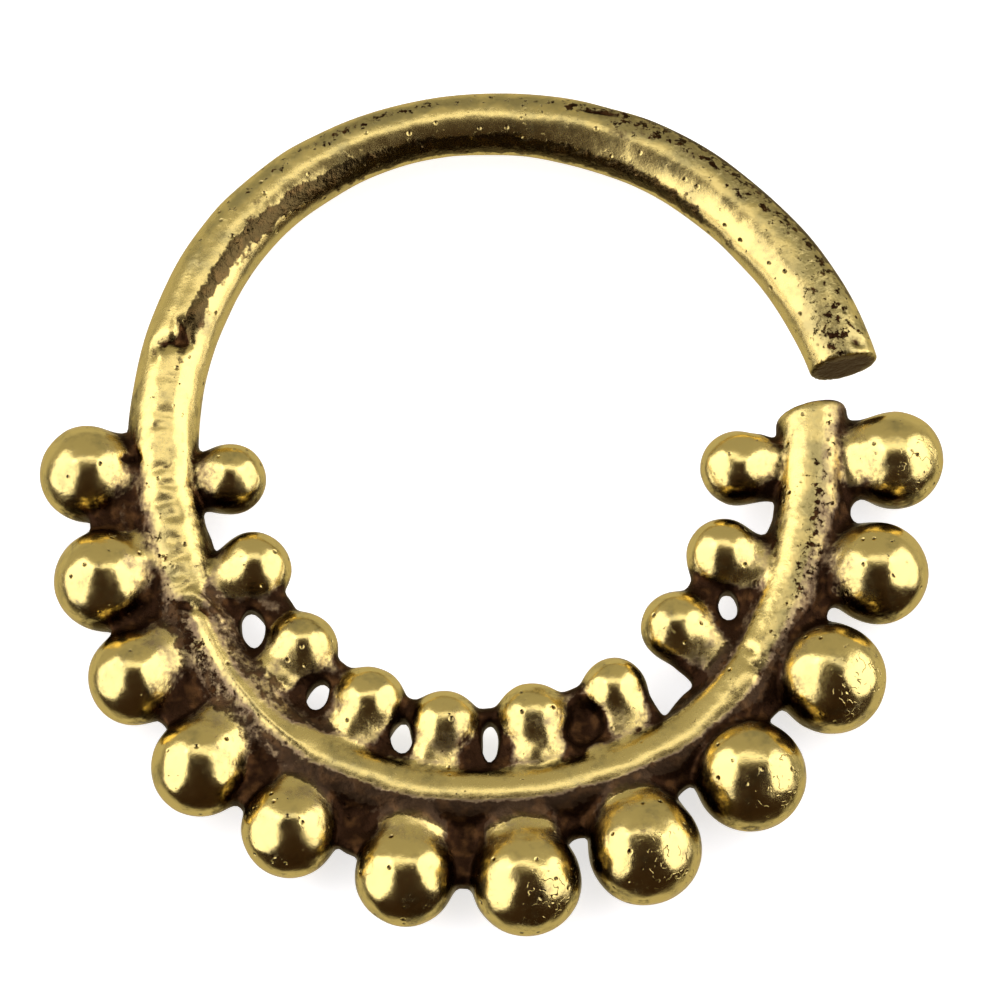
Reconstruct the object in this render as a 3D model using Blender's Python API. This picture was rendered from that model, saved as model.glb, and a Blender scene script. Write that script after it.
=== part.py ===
"""An open nose ring of brass: a bent wire hoop with granules along both sides of its lower half.

The hoop lies flat with its hole along Z. +Y points to the plain top of the hoop, and the open gap is
at +X. The origin is under the middle of the ring's outline, on the surface that it rests on. The
wire, the granules, their necks and the webs between them are fused metal, so they are one solid.
"""

import math
from collections import namedtuple

import bmesh
import bpy
import numpy
from mathutils import Matrix, Vector

# Driving sizes, in metres
HOOP_RADIUS = 0.0062
WIRE_DIAMETER = 0.0012
OUTER_GRANULE_DIAMETER = 0.00175
INNER_GRANULE_DIAMETER = 0.00122
WEB_THICKNESS = 0.0006
BRIDGE_DIAMETER = 0.00052
RUBBED_DEPTH = 0.00004

# A neck's half width at its granule and at the wire, and its height, as shares: the widths of its
# granule's radius, the height of its width, which keeps it below the wire's skin
NeckShape = namedtuple("NeckShape", "at_granule at_wire height")
OUTER_NECK = NeckShape(0.80, 1.00, 0.55)
INNER_NECK = NeckShape(0.95, 1.30, 0.62)

# The cut faces at the wire's two ends: how far each leans from square to the wire, in degrees
UPPER_CUT_SKEW = -4.0
LOWER_CUT_SKEW = 8.0

# Facets, and how close two of their corners may come before they are made one
SHORTEST_EDGE = 0.0000015
WIRE_SIDES = 14
WIRE_STEP = 6.0
OUTER_GRANULE_SIDES = 14
INNER_GRANULE_SIDES = 12
NECK_SIDES = 12
BRIDGE_SIDES = 10
CREASE_ANGLE = 40.0

# The hoop's sections, from its upper cut end round the top and the left side to its lower cut end.
# angle: degrees round the hoop from +X. reach: share of HOOP_RADIUS. thickness: share of
# WIRE_DIAMETER.
Section = namedtuple("Section", "angle reach thickness")
HOOP_SECTIONS = [
    Section(15.3, 1.026, 0.98),
    Section(21, 1.022, 1.01),
    Section(30, 1.018, 1.02),
    Section(45, 1.008, 0.99),
    Section(60, 1.010, 0.98),
    Section(75, 1.003, 0.95),
    Section(90, 1.000, 0.89),
    Section(105, 0.995, 0.89),
    Section(120, 0.984, 0.93),
    Section(135, 0.966, 0.98),
    Section(150, 0.936, 1.02),
    Section(165, 0.912, 1.02),
    Section(180, 0.900, 1.02),
    Section(195, 0.903, 1.00),
    Section(210, 0.934, 0.98),
    Section(225, 0.974, 0.96),
    Section(240, 1.001, 0.94),
    Section(255, 1.009, 0.92),
    Section(270, 1.002, 0.90),
    Section(285, 0.998, 0.90),
    Section(300, 0.998, 0.92),
    Section(315, 0.978, 0.96),
    Section(330, 0.936, 0.98),
    Section(345, 0.907, 1.02),
    Section(360, 0.898, 1.04),
    Section(368.6, 0.905, 1.04),
]

# angle: degrees round the hoop. size: share of the row's granule diameter. stand: space between the
# wire's skin and the granule's middle, as a share of the granule's radius, so 1 just touches.
# web: how far the metal between this granule and the next one reaches, as a share of the way from
# the middle of the wire to the granules' middles.
OuterGranule = namedtuple("OuterGranule", "angle size stand web")
OUTER_GRANULES = [
    OuterGranule(182.3, 0.94, 0.84, 1.06),
    OuterGranule(198.8, 0.98, 0.81, 1.15),
    OuterGranule(213.4, 0.92, 0.96, 1.04),
    OuterGranule(228.8, 0.96, 0.88, 1.08),
    OuterGranule(243.4, 0.94, 0.84, 0.98),
    OuterGranule(259.5, 0.97, 0.99, 1.12),
    OuterGranule(274.9, 1.06, 1.00, 0.55),
    OuterGranule(290.6, 1.10, 0.84, 0.50),
    OuterGranule(307.7, 1.08, 0.61, 0.62),
    OuterGranule(325.4, 1.08, 0.66, 0.54),
    OuterGranule(342.5, 1.00, 0.82, 0.52),
    OuterGranule(359.7, 0.96, 0.93, 0.52),
]

# bridge: whether a bar of metal joins this granule to the next one. web: as above, and 0 where there
# is none, so that light shows through between the bar and the wire.
InnerGranule = namedtuple("InnerGranule", "angle size stand bridge web")
INNER_GRANULES = [
    InnerGranule(185.0, 0.98, 0.89, False, 0.0),
    InnerGranule(206.8, 1.04, 1.05, True, 0.0),
    InnerGranule(227.4, 1.01, 1.31, True, 0.0),
    InnerGranule(245.5, 1.01, 1.29, True, 0.0),
    InnerGranule(261.4, 0.98, 1.31, True, 0.0),
    InnerGranule(279.1, 1.01, 1.41, True, 0.85),
    InnerGranule(297.0, 0.90, 1.67, False, 0.0),
    InnerGranule(316.3, 1.01, 1.65, True, 0.0),
    InnerGranule(336.1, 1.04, 1.13, False, 0.0),
    InnerGranule(357.6, 1.04, 1.04, False, 0.0),
]

OUTWARD = 1.0
INWARD = -1.0
WIRE_HEIGHT = (OUTER_GRANULE_DIAMETER / 2) - RUBBED_DEPTH


def smooth_value(angle, column):
    """A column of the hoop's table at any angle, on a smooth curve through its rows."""
    angles = numpy.array([section.angle for section in HOOP_SECTIONS])
    values = numpy.array([getattr(section, column) for section in HOOP_SECTIONS])
    slopes = numpy.gradient(values, angles)
    row = int(numpy.clip(numpy.searchsorted(angles, angle) - 1, 0, len(angles) - 2))
    width = angles[row + 1] - angles[row]
    along = (angle - angles[row]) / width
    rest = 1 - along
    start = values[row] * (1 + 2 * along) + slopes[row] * width * along
    finish = values[row + 1] * (1 + 2 * rest) - slopes[row + 1] * width * rest
    return float(start * rest**2 + finish * along**2)


def wire_radius(angle):
    """Half of the wire's thickness at an angle round the hoop."""
    return WIRE_DIAMETER / 2 * smooth_value(angle, "thickness")


def outward_ray(angle):
    """The direction from the hoop's middle at an angle, lying flat."""
    turn = math.radians(angle)
    return Vector((math.cos(turn), math.sin(turn), 0))


def hoop_point(angle, offset=0.0):
    """The middle of the wire at an angle, moved along its ray by offset, from the hoop's middle."""
    reach = HOOP_RADIUS * smooth_value(angle, "reach")
    return outward_ray(angle) * (reach + offset) + Vector((0, 0, WIRE_HEIGHT))


def wire_direction(angle):
    """The way that the wire runs at an angle, along rising angles."""
    small_turn = 0.5
    first = HOOP_SECTIONS[0].angle
    last = HOOP_SECTIONS[-1].angle
    before = hoop_point(max(angle - small_turn, first))
    after = hoop_point(min(angle + small_turn, last))
    return (after - before).normalized()


def granule_radius(granule, diameter):
    """A granule's radius from its row's diameter."""
    return diameter / 2 * granule.size


def granule_centre(granule, diameter, side):
    """A granule's middle: out from the wire's skin along the ray, on the outer or the inner side."""
    radius = granule_radius(granule, diameter)
    offset = wire_radius(granule.angle) + granule.stand * radius
    return hoop_point(granule.angle, side * offset)


def seated_centre(granule):
    """An outer granule's middle, at the height at which its rubbed underside lies at zero."""
    centre = granule_centre(granule, OUTER_GRANULE_DIAMETER, OUTWARD)
    centre.z = granule_radius(granule, OUTER_GRANULE_DIAMETER) - RUBBED_DEPTH
    return centre


def outline_middle():
    """The middle of the ring's outline seen from above, from the hoop's middle."""
    reaches = []
    for granule in OUTER_GRANULES:
        reaches.append((seated_centre(granule), granule_radius(granule, OUTER_GRANULE_DIAMETER)))
    for section in HOOP_SECTIONS:
        reaches.append((hoop_point(section.angle), wire_radius(section.angle)))
    low_x = min(point.x - radius for point, radius in reaches)
    high_x = max(point.x + radius for point, radius in reaches)
    low_y = min(point.y - radius for point, radius in reaches)
    high_y = max(point.y + radius for point, radius in reaches)
    return Vector(((low_x + high_x) / 2, (low_y + high_y) / 2, 0))


def new_form(name, shape):
    """A mesh object from a finished bmesh, in flat facets that point out."""
    bmesh.ops.triangulate(shape, faces=shape.faces)
    bmesh.ops.recalc_face_normals(shape, faces=shape.faces)
    mesh = bpy.data.meshes.new(name)
    shape.to_mesh(mesh)
    shape.free()
    form = bpy.data.objects.new(name, mesh)
    bpy.context.scene.collection.objects.link(form)
    return form


def hoop_wire():
    """The bent wire: round sections square to its run, with a leaning cut face at each end."""
    first = HOOP_SECTIONS[0].angle
    last = HOOP_SECTIONS[-1].angle
    count = round((last - first) / WIRE_STEP)
    shape = bmesh.new()
    previous = None
    for index in range(count + 1):
        angle = first + (last - first) * index / count
        skew = {0: UPPER_CUT_SKEW, count: LOWER_CUT_SKEW}.get(index, 0.0)
        direction = wire_direction(angle)
        across = Vector((direction.y, -direction.x, 0))
        leaning = Matrix.Rotation(math.radians(skew), 3, "Z") @ across
        leaning /= math.cos(math.radians(skew))
        frame = Matrix((leaning, (0, 0, 1), direction)).transposed().to_4x4()
        frame.translation = hoop_point(angle)
        ring = bmesh.ops.create_circle(
            shape,
            segments=WIRE_SIDES,
            radius=wire_radius(angle),
            cap_ends=index in (0, count),
            matrix=frame,
        )["verts"]
        edges = {edge for vert in ring for edge in vert.link_edges}
        if previous:
            bmesh.ops.bridge_loops(shape, edges=list(previous | edges))
        previous = edges
    return new_form("hoop_wire", shape)


def ball(name, radius, centre, sides, turn, rubbed):
    """A granule with its poles up and down, cut flat underneath where it is rubbed."""
    place = Matrix.Translation(centre) @ Matrix.Rotation(math.radians(turn), 4, "Z")
    shape = bmesh.new()
    bmesh.ops.create_uvsphere(
        shape, u_segments=sides, v_segments=sides // 2 + 1, radius=radius, matrix=place
    )
    if rubbed:
        cut = bmesh.ops.bisect_plane(
            shape,
            geom=shape.verts[:] + shape.edges[:] + shape.faces[:],
            plane_co=(0, 0, 0),
            plane_no=(0, 0, -1),
            clear_outer=True,
        )["geom_cut"]
        rim = [part for part in cut if isinstance(part, bmesh.types.BMEdge)]
        bmesh.ops.holes_fill(shape, edges=rim)
    return new_form(name, shape)


def tapered_bar(name, start, finish, start_radius, finish_radius, sides, height_share):
    """A round tapered bar between two points, flattened from above by height_share."""
    run = finish - start
    across = run.cross(Vector((0, 0, 1))).normalized()
    up = across.cross(run).normalized() * height_share
    frame = Matrix((across, up, run.normalized())).transposed().to_4x4()
    frame.translation = (start + finish) / 2
    shape = bmesh.new()
    bmesh.ops.create_cone(
        shape,
        cap_ends=True,
        segments=sides,
        radius1=start_radius,
        radius2=finish_radius,
        depth=run.length,
        matrix=frame,
    )
    return new_form(name, shape)


def neck(name, granule, centre, radius, neck_shape):
    """The stem that carries a granule, from the middle of the wire and wider there."""
    return tapered_bar(
        name,
        hoop_point(granule.angle),
        centre,
        radius * neck_shape.at_wire,
        radius * neck_shape.at_granule,
        NECK_SIDES,
        neck_shape.height,
    )


def web(name, granules, diameter, side):
    """A flat plate from the wire out to between the granules, as far as each row's web says."""
    inner_edge = [hoop_point(granule.angle) for granule in granules]
    outer_edge = []
    for granule, following in zip(granules, granules[1:]):
        centre = granule_centre(granule, diameter, side)
        next_centre = granule_centre(following, diameter, side)
        wire_middle = hoop_point((granule.angle + following.angle) / 2)
        outer_edge.append(centre)
        outer_edge.append(wire_middle.lerp((centre + next_centre) / 2, granule.web))
    outer_edge.append(granule_centre(granules[-1], diameter, side))
    shape = bmesh.new()
    drop = Vector((0, 0, WEB_THICKNESS / 2))
    corners = [shape.verts.new(point - drop) for point in outer_edge + inner_edge[::-1]]
    plate = shape.faces.new(corners)
    raised = bmesh.ops.extrude_face_region(shape, geom=[plate])["geom"]
    lifted = [part for part in raised if isinstance(part, bmesh.types.BMVert)]
    bmesh.ops.translate(shape, verts=lifted, vec=(0, 0, WEB_THICKNESS))
    return new_form(name, shape)


def outer_row():
    """The outer granules with their necks and the web that joins them."""
    forms = []
    for number, granule in enumerate(OUTER_GRANULES, start=1):
        radius = granule_radius(granule, OUTER_GRANULE_DIAMETER)
        centre = seated_centre(granule)
        name = f"outer_granule_{number}"
        forms.append(ball(name, radius, centre, OUTER_GRANULE_SIDES, granule.angle, True))
        forms.append(neck(f"outer_neck_{number}", granule, centre, radius, OUTER_NECK))
    forms.append(web("outer_web", OUTER_GRANULES, OUTER_GRANULE_DIAMETER, OUTWARD))
    return forms


def inner_row():
    """The inner granules with their necks, the bars between them and the closed pocket's floor."""
    forms = []
    for number, granule in enumerate(INNER_GRANULES, start=1):
        radius = granule_radius(granule, INNER_GRANULE_DIAMETER)
        centre = granule_centre(granule, INNER_GRANULE_DIAMETER, INWARD)
        name = f"inner_granule_{number}"
        forms.append(ball(name, radius, centre, INNER_GRANULE_SIDES, granule.angle, False))
        forms.append(neck(f"inner_neck_{number}", granule, centre, radius, INNER_NECK))
    for number, granule in enumerate(INNER_GRANULES[:-1], start=1):
        following = INNER_GRANULES[number]
        if granule.bridge:
            start = granule_centre(granule, INNER_GRANULE_DIAMETER, INWARD)
            finish = granule_centre(following, INNER_GRANULE_DIAMETER, INWARD)
            half = BRIDGE_DIAMETER / 2
            forms.append(tapered_bar(f"bridge_{number}", start, finish, half, half, BRIDGE_SIDES, 1))
        if granule.web:
            pair = [granule, following]
            forms.append(web(f"inner_web_{number}", pair, INNER_GRANULE_DIAMETER, INWARD))
    return forms


def without_slivers(mesh):
    """The mesh in triangles, with the corners that lie closer than SHORTEST_EDGE made one."""
    shape = bmesh.new()
    shape.from_mesh(mesh)
    bmesh.ops.remove_doubles(shape, verts=shape.verts, dist=SHORTEST_EDGE)
    bmesh.ops.triangulate(shape, faces=shape.faces)
    shape.to_mesh(mesh)
    shape.free()
    return mesh


def united(base, forms):
    """One closed body from a base form and every form that is fused to it, all joined in one step."""
    fused_forms = bpy.data.collections.new("fused_forms")
    for form in forms:
        fused_forms.objects.link(form)
    union = base.modifiers.new("union", "BOOLEAN")
    union.operation = "UNION"
    union.solver = "EXACT"
    union.operand_type = "COLLECTION"
    union.collection = fused_forms
    depsgraph = bpy.context.evaluated_depsgraph_get()
    fused = bpy.data.meshes.new_from_object(base.evaluated_get(depsgraph))
    base.modifiers.clear()
    base.data = without_slivers(fused)
    for form in forms:
        bpy.data.objects.remove(form)
    bpy.data.collections.remove(fused_forms)
    return base


def brass():
    """Polished yellow brass."""
    material = bpy.data.materials.new("brass")
    material.use_nodes = True
    shader = material.node_tree.nodes["Principled BSDF"]
    shader.inputs["Base Color"].default_value = (0.72, 0.55, 0.22, 1)
    shader.inputs["Metallic"].default_value = 1.0
    shader.inputs["Roughness"].default_value = 0.2
    return material


def build_nose_ring():
    """The whole ring as one solid, with its outline's middle over the origin."""
    ring = united(hoop_wire(), outer_row() + inner_row())
    ring.name = "nose_ring"
    ring.data.name = "nose_ring"
    ring.data.transform(Matrix.Translation(-outline_middle()))
    ring.data.materials.clear()
    ring.data.materials.append(brass())
    ring.data.shade_smooth()
    ring.data.set_sharp_from_angle(angle=math.radians(CREASE_ANGLE))


for leftover in list(bpy.data.objects):
    bpy.data.objects.remove(leftover)
build_nose_ring()
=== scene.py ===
"""The looks of an open brass nose ring: its fused, worn metal, a pale table and a soft studio light.

The metal is one surface. It is found as the place where a distance, worked out on whole arrays, is
zero: the distance to the bent wire, to every granule, neck, bridge and web, blended where they fuse.
Shapes are in millimetres from the middle of the hoop, with the table at height zero.
"""

import math
from collections import namedtuple

import bpy
import numpy as np
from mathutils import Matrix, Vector


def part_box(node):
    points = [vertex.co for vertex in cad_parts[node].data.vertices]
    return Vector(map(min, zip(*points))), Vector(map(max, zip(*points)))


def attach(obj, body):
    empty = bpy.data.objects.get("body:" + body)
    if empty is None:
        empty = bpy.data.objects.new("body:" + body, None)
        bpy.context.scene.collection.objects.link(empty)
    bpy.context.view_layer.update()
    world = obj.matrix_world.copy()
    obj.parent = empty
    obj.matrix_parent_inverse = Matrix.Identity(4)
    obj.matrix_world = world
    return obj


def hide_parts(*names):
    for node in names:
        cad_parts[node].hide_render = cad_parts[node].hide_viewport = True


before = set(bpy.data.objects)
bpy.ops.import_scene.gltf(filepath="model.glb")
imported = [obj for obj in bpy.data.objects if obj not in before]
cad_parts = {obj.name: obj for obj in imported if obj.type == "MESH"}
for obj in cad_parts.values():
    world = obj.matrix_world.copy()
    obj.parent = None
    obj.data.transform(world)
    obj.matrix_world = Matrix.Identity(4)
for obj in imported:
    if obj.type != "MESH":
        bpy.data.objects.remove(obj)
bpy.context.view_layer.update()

MILLIMETRE = 0.001

# Driving sizes, in millimetres
HOOP_RADIUS = 6.2
WIRE_DIAMETER = 1.2
OUTER_GRANULE_DIAMETER = 1.75
INNER_GRANULE_DIAMETER = 1.22
WEB_THICKNESS = 0.46
BRIDGE_DIAMETER = 0.52
RUBBED_DEPTH = 0.04
RUBBED_RIM = 0.02
WIRE_HEIGHT = OUTER_GRANULE_DIAMETER / 2 - RUBBED_DEPTH

# angle: degrees round the hoop from +X. reach and thickness: shares of HOOP_RADIUS and WIRE_DIAMETER.
Section = namedtuple("Section", "angle reach thickness")
HOOP_SECTIONS = [Section(*row) for row in (
    (15.3, 1.026, 0.98), (21, 1.022, 1.01), (30, 1.018, 1.02), (45, 1.008, 0.99),
    (60, 1.010, 0.98), (75, 1.003, 0.95), (90, 1.000, 0.89), (105, 0.995, 0.89),
    (120, 0.984, 0.93), (135, 0.966, 0.98), (150, 0.936, 1.02), (165, 0.912, 1.02),
    (180, 0.900, 1.02), (195, 0.903, 1.00), (210, 0.934, 0.98), (225, 0.974, 0.96),
    (240, 1.001, 0.94), (255, 1.009, 0.92), (270, 1.002, 0.90), (285, 0.998, 0.90),
    (300, 0.998, 0.92), (315, 0.978, 0.96), (330, 0.936, 0.98), (345, 0.907, 1.02),
    (360, 0.898, 1.04), (368.6, 0.905, 1.04),
)]
FIRST_ANGLE = HOOP_SECTIONS[0].angle
LAST_ANGLE = HOOP_SECTIONS[-1].angle

# The cut ends: how far each face leans from square to the wire, in degrees, and how round its rim is
UPPER_CUT_SKEW = -4.0
LOWER_CUT_SKEW = 8.0
UPPER_RIM = 0.05
LOWER_RIM = 0.16

# size: share of the row's granule diameter. stand: from the wire's skin to the granule's middle, in
# granule radii. web: how far the metal reaches between this granule and the next, as a share of the
# way from the wire's middle to the granules' middles. rise: the neck's half height at the wire's
# middle, in granule radii.
OuterGranule = namedtuple("OuterGranule", "angle size stand web rise")
OUTER_GRANULES = [OuterGranule(*row) for row in (
    (182.3, 0.94, 0.84, 1.02, 0.28), (198.8, 0.98, 0.81, 1.06, 0.36), (213.4, 0.92, 0.96, 1.00, 0.60),
    (228.8, 0.96, 0.88, 1.02, 0.56), (243.4, 0.94, 0.84, 0.94, 0.48), (259.5, 0.97, 0.99, 1.05, 0.50),
    (274.9, 1.06, 1.00, 0.55, 0.48), (290.6, 1.10, 0.84, 0.50, 0.42), (307.7, 1.08, 0.61, 0.62, 0.26),
    (325.4, 1.08, 0.66, 0.54, 0.26), (342.5, 1.00, 0.82, 0.52, 0.26), (359.7, 0.96, 0.93, 0.52, 0.26),
)]

# bridge: whether a bar of metal joins this granule to the next one. web: 0 where there is none.
InnerGranule = namedtuple("InnerGranule", "angle size stand bridge web rise")
INNER_GRANULES = [InnerGranule(*row) for row in (
    (185.0, 0.98, 0.89, False, 0.0, 0.40), (206.8, 1.04, 1.05, True, 0.92, 0.52),
    (227.4, 1.01, 1.31, True, 0.92, 0.56), (245.5, 1.01, 1.29, True, 0.92, 0.46),
    (261.4, 0.98, 1.31, True, 0.92, 0.44), (279.1, 1.01, 1.41, True, 0.85, 0.44),
    (297.0, 0.90, 1.67, False, 0.0, 0.40), (316.3, 1.01, 1.65, True, 0.92, 0.42),
    (336.1, 1.04, 1.13, False, 0.0, 0.44), (357.6, 1.04, 1.04, False, 0.0, 0.40),
)]

# Half widths at the granule and at the wire's middle, and half height at the granule, in granule radii
NeckShape = namedtuple("NeckShape", "at_granule at_wire high")
OUTER_NECK = NeckShape(0.90, 0.76, 0.88)
INNER_NECK = NeckShape(0.88, 0.86, 0.86)

# Both rows: granules, their diameter, the side of the wire that they are on (1 out, -1 in) and necks
GRANULE_ROWS = (
    (OUTER_GRANULES, OUTER_GRANULE_DIAMETER, 1, OUTER_NECK),
    (INNER_GRANULES, INNER_GRANULE_DIAMETER, -1, INNER_NECK),
)

# The small holes between the inner necks, and a pocket that the metal closes from below. reach: share
# of HOOP_RADIUS. width and length: in millimetres. turn: degrees from +X to the length's direction.
# floor: the height that it goes down to. rim: how wide its rounded edge is.
Hole = namedtuple("Hole", "angle reach width length turn floor rim")
HOLES = [Hole(*row) for row in (
    (218.2, 0.820, 0.42, 0.70, 95, -1, 0.10), (236.6, 0.842, 0.36, 0.55, 70, -1, 0.10),
    (254.0, 0.855, 0.38, 0.68, 88, -1, 0.10), (270.4, 0.835, 0.29, 0.74, 88, -1, 0.10),
    (289.4, 0.822, 0.46, 0.66, 116, 0.93, 0.20), (287.2, 0.846, 0.36, 0.42, 30, 0.96, 0.20),
    (326.3, 0.792, 0.34, 0.52, 92, -1, 0.10),
)]

# Dents, flaws and knocks in the wire's skin. turn: degrees round the wire from its crest, towards the
# outside. run: degrees from the wire's run to the dent's length. length, width and depth: millimetres,
# and a depth below zero stands proud.
Dent = namedtuple("Dent", "angle turn run length width depth")
DENTS = [Dent(*row) for row in (
    (158.6, -8, 8, 0.34, 0.15, 0.120), (159.8, -14, 84, 0.24, 0.12, 0.090),
    (160.6, 8, 76, 0.26, 0.10, 0.100), (161.4, 22, 62, 0.22, 0.10, 0.085),
    (162.6, 34, 20, 0.20, 0.08, 0.060), (157.2, 4, 30, 0.16, 0.07, 0.060),
    (210.4, -24, 28, 0.50, 0.07, -0.060), (211.0, -12, 28, 0.40, 0.06, 0.055),
    (209.9, 8, 44, 0.24, 0.10, 0.100), (209.0, 20, 80, 0.14, 0.07, 0.060),
    (214.8, -6, 0, 0.70, 0.12, -0.050), (221.5, -3, 0, 0.80, 0.12, -0.055),
    (228.5, 0, 0, 0.80, 0.12, -0.050), (235.5, 3, 0, 0.80, 0.12, -0.040),
    (318.6, 8, 80, 0.36, 0.11, 0.075), (321.0, -20, 70, 0.22, 0.10, 0.050),
    (167.1, -6, 90, 0.24, 0.10, 0.016), (173.8, -2, 80, 0.20, 0.13, 0.026),
    (176.0, 4, 98, 0.22, 0.09, 0.022), (184.0, 8, 104, 0.24, 0.12, 0.026),
    (187.2, -6, 76, 0.20, 0.10, 0.018), (190.4, 6, 94, 0.26, 0.15, 0.034),
    (193.0, -4, 70, 0.20, 0.15, 0.040), (197.4, 6, 50, 0.24, 0.16, 0.030),
    (200.6, -2, 98, 0.22, 0.12, 0.034), (203.8, 10, 80, 0.24, 0.17, 0.045),
    (206.4, 2, 100, 0.16, 0.09, 0.040), (73.2, 31, 8, 0.70, 0.07, 0.060),
    (70.4, 44, 14, 0.60, 0.06, -0.035), (181.6, 52, 90, 0.16, 0.05, 0.090),
    (181.2, 46, 5, 0.14, 0.05, 0.060), (17.0, 30, 40, 0.22, 0.16, 0.090),
)]

# How the fused metal laps up the wire's flanks. fillet: its width in millimetres. inner and outer: how
# far round the wire from its crest the polish reaches, in degrees. The last column: how dark the flanks
# beyond are painted, a painted dark reflection with tarnish.
Lap = namedtuple("Lap", "angle fillet inner outer soot")
LAPS = [Lap(*row) for row in (
    (166, 0.07, 180, 180, 0.0), (178, 0.08, 95, 55, 0.0), (186, 0.10, 85, 30, 0.1),
    (203, 0.12, 75, 28, 0.3), (209, 0.13, 16, 8, 0.55), (234, 0.13, 12, 12, 0.60),
    (246, 0.09, 60, 12, 1.0), (296, 0.08, 64, 12, 1.0), (312, 0.12, 46, 16, 0.95),
    (332, 0.12, 48, 14, 0.45), (348, 0.10, 62, 12, 0.25), (369, 0.10, 70, 20, 0.15),
)]

# Stains on the wire's skin, as bell curves. angle and span: degrees round the hoop. turn and spread:
# degrees round the wire from its crest, towards the outside.
Stain = namedtuple("Stain", "angle span turn spread")
PITTED = [Stain(*row) for row in (
    (42, 28, 40, 36), (66, 14, 34, 22), (20, 8, -10, 30),
    (110, 26, 30, 18), (216, 22, 30, 22), (344, 20, 14, 24),
)]
# These stains are painted dark reflections as well as tarnish: dark bands on the wire where it faces the
# dark room
DARK_REFLECTION_AND_TARNISH = [Stain(*row) for row in (
    (84, 22, -62, 22), (98, 16, -70, 18), (60, 14, -72, 16),
    (114, 14, -52, 16), (128, 13, -38, 14), (144, 12, -22, 12),
    (156, 8, -12, 10), (38, 16, 66, 16), (58, 8, 60, 14),
)]

# The outer granules with scratches, by place in their row, and the direction that these face
SCRATCHED = [6, 7, 8, 9, 11]
SCRATCHED_SIDE = (0.62, -0.40, 0.67)

# How wide the metal's fillets are where two forms fuse
GRANULE_FILLET = 0.12
NECK_FILLET = 0.16
WEB_FILLET = 0.18

# The cast skin's lumps: how far each stands out and how wide it is
WIRE_LUMP = (0.015, 0.70)
WEB_LUMP = (0.030, 0.26)
WEB_SWELL = (0.045, 0.60)

# How polished the necks' open tops are, and how deep a flaw is where it is darkest
NECK_POLISH = 0.72
DARKEST_FLAW = 0.08

# How far from its middle each form is worked out, and for a granule how far beyond its radius
NECK_REACH = 2.0
BRIDGE_REACH = 1.8
GRANULE_REACH = 0.6
HOLE_REACH = 0.9
DENT_REACH = 0.8

# How far off metal shuts a crevice in, and how far off it shelters the skin from a cloth. Both also set
# where shade is painted on the brass.
CREVICE_REACH = 0.28
SHELTER_REACH = 1.0

# The directions in which such metal is looked for, on rings about the normal: degrees from it and how
# many there. Then how far along them, as shares of the reach, and how soft the answer is.
LOOKING_RINGS = ((28, 5), (58, 8))
LOOKING_SHARES = (0.2, 0.4, 0.7, 1.0)
LOOKING_SOFTNESS = 0.35

# The grid's step, a distance for where there is no metal near, how near to the skin the lumps are
# worked out, and the first seed of the random lumps
GRID_STEP = 0.066
FAR = 9.0
SKIN = 0.35
SEED = 5


def hoop_value(angles, column):
    """A column of the hoop's table at any angles, on the cubic through its rows with slopes
    taken from the rows on both sides."""
    rows = np.array([section.angle for section in HOOP_SECTIONS])
    values = np.array([getattr(section, column) for section in HOOP_SECTIONS])
    slopes = np.gradient(values, rows)
    row = np.clip(np.searchsorted(rows, angles) - 1, 0, len(rows) - 2)
    width = rows[row + 1] - rows[row]
    along = (angles - rows[row]) / width
    rest = 1 - along
    start = values[row] * (1 + 2 * along) + slopes[row] * width * along
    finish = values[row + 1] * (1 + 2 * rest) - slopes[row + 1] * width * rest
    return start * rest**2 + finish * along**2


def wire_radius(angles):
    """Half of the wire's thickness at each angle."""
    return WIRE_DIAMETER / 2 * hoop_value(angles, "thickness")


def hoop_reach(angles):
    """How far the wire's middle is from the hoop's middle at each angle."""
    return HOOP_RADIUS * hoop_value(angles, "reach")


def rays(angles):
    """Unit vectors from the hoop's middle at each angle, lying flat."""
    turn = np.radians(angles)
    return np.stack([np.cos(turn), np.sin(turn), np.zeros_like(turn)], axis=-1)


def hoop_point(angles, offset=0.0):
    """The wire's middle at each angle, moved along its ray by offset."""
    reach = np.asarray(hoop_reach(angles) + offset)
    return rays(angles) * reach[..., None] + (0, 0, WIRE_HEIGHT)


def outward(angles):
    """The direction square to the wire's run at each angle, lying flat and pointing out."""
    small_turn = 0.5
    before = hoop_point(np.maximum(angles - small_turn, FIRST_ANGLE))
    after = hoop_point(np.minimum(angles + small_turn, LAST_ANGLE))
    run = after - before
    run /= np.linalg.norm(run, axis=-1, keepdims=True)
    return np.stack([run[..., 1], -run[..., 0], run[..., 2]], axis=-1)


def least(first, second, blend):
    """The lesser of two distances, with the corner between them filled over a width of blend."""
    overlap = np.maximum(blend - np.abs(first - second), 0) / blend
    return np.minimum(first, second) - overlap**2 * blend / 4


def most(first, second, blend):
    """The greater of two distances, with the corner between them rounded over a width of blend."""
    return -least(-first, -second, blend)


def granule_middle(granule, diameter, side):
    """A granule's middle and radius: out from the wire's skin by its stand."""
    radius = diameter / 2 * granule.size
    offset = side * (wire_radius(granule.angle) + granule.stand * radius)
    return hoop_point(granule.angle, offset), radius


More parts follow.
